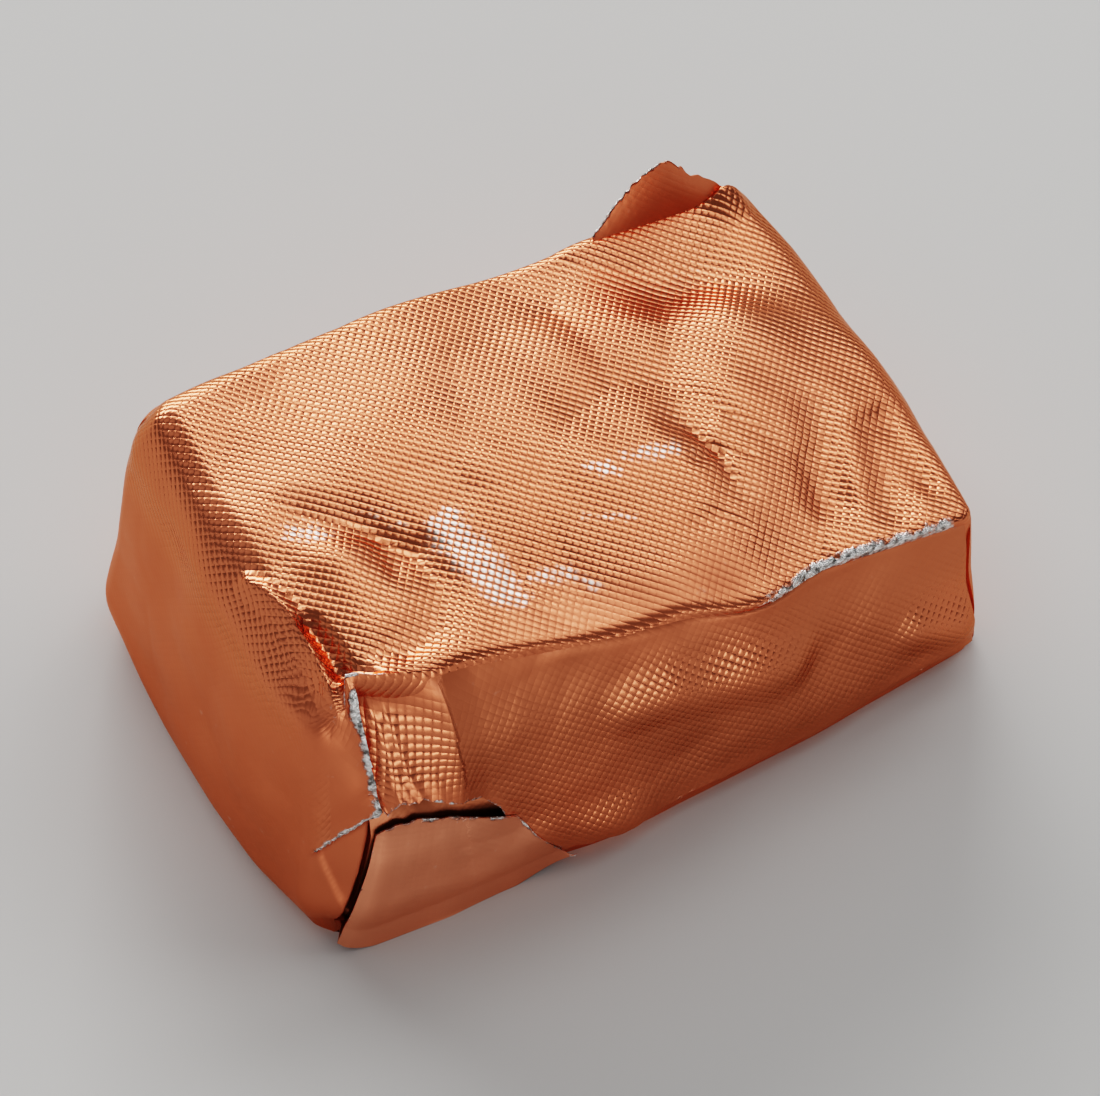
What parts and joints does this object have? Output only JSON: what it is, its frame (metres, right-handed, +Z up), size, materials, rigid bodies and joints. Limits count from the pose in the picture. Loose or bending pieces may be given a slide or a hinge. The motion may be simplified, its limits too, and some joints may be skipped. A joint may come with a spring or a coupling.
{
  "type": "wrapped marron glace",
  "caption": "Candied chestnut shut in embossed copper foil: a wedge-topped oblong pack with a smooth side, folded ends and a flat underside.",
  "frame": {"origin": "centre of the pack's outline, on the surface that it lies on", "axes": "+X across the folded ends, from the thick side to the thin one; +Y from the front folded end to the back one; +Z up"},
  "size_m": [0.0408, 0.029, 0.0185],
  "materials": {
    "copper_foil": "copper-lacquered aluminium foil, pin-embossed, creased, worn to silver on the sharp folds"
  },
  "bodies": {
    "root": {"foil_pack": "copper_foil"}
  },
  "joints": []
}
